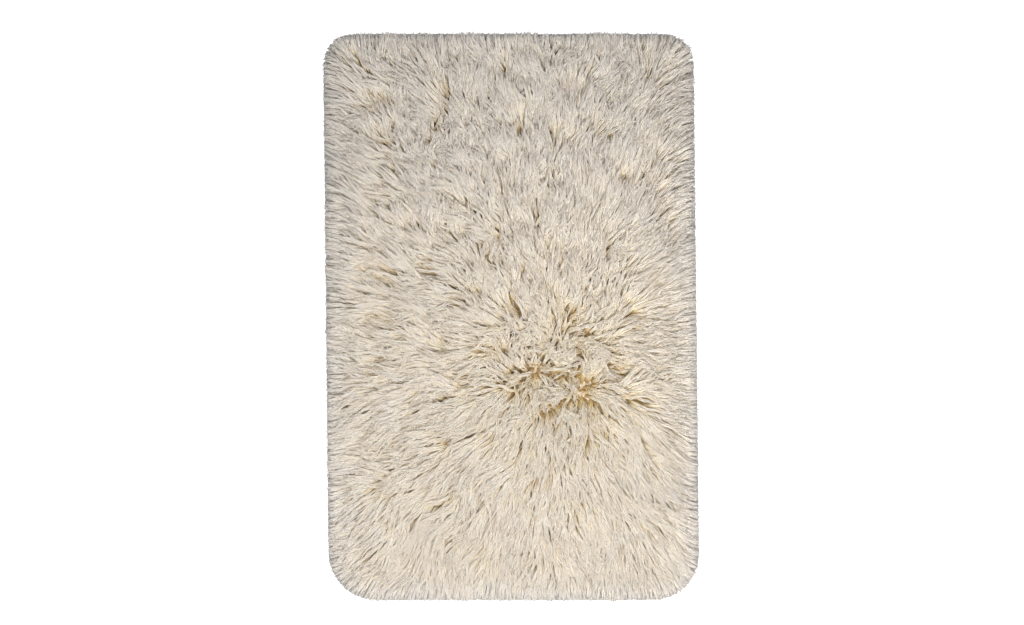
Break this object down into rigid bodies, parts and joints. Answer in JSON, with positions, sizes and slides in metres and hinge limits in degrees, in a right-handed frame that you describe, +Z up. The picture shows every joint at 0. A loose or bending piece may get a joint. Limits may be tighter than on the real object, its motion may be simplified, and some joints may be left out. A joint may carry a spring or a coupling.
{
  "type": "area rug",
  "caption": "Small long-pile wool rug with rounded corners: a woven ground cloth with a taped, stitched edge and rows of shaggy natural-cream pile that fan out from a whorl.",
  "frame": {"origin": "middle of the rug's footprint on the floor: the centre of the bounding box's bottom face", "axes": "+X across the width, +Y along the length towards the head, the end with the tighter corners, +Z up out of the pile"},
  "size_m": [0.61, 0.934, 0.046],
  "materials": {
    "wool_pile": "soft undyed long-staple wool yarn, natural cream, matt with a faint sheen along the lock",
    "ground_cloth": "felted wool plain weave, coarse, natural beige",
    "binding_tape": "cotton twill tape, undyed",
    "sewing_thread": "spun polyester thread, off-white",
    "care_label": "blank white woven satin ribbon"
  },
  "bodies": {
    "root": {"ground_cloth": "ground_cloth", "binding_tape": "binding_tape", "needle_thread": "sewing_thread", "bobbin_thread": "sewing_thread", "care_label": "care_label", "pile_row_01": "wool_pile", "pile_row_02": "wool_pile", "pile_row_03": "wool_pile", "pile_row_04": "wool_pile", "pile_row_05": "wool_pile", "pile_row_06": "wool_pile", "pile_row_07": "wool_pile", "pile_row_08": "wool_pile", "pile_row_09": "wool_pile", "pile_row_10": "wool_pile", "pile_row_11": "wool_pile", "pile_row_12": "wool_pile", "pile_row_13": "wool_pile", "pile_row_14": "wool_pile", "pile_row_15": "wool_pile", "pile_row_16": "wool_pile", "pile_row_17": "wool_pile", "pile_row_18": "wool_pile", "pile_row_19": "wool_pile", "pile_row_20": "wool_pile", "pile_row_21": "wool_pile", "pile_row_22": "wool_pile", "pile_row_23": "wool_pile", "pile_row_24": "wool_pile", "pile_row_25": "wool_pile", "pile_row_26": "wool_pile", "pile_row_27": "wool_pile", "pile_row_28": "wool_pile", "pile_row_29": "wool_pile", "pile_row_30": "wool_pile", "pile_row_31": "wool_pile", "pile_row_32": "wool_pile", "pile_row_33": "wool_pile", "pile_row_34": "wool_pile", "pile_row_35": "wool_pile", "pile_row_36": "wool_pile", "pile_row_37": "wool_pile", "pile_row_38": "wool_pile", "pile_row_39": "wool_pile", "pile_row_40": "wool_pile", "pile_row_41": "wool_pile", "pile_row_42": "wool_pile"}
  },
  "joints": []
}
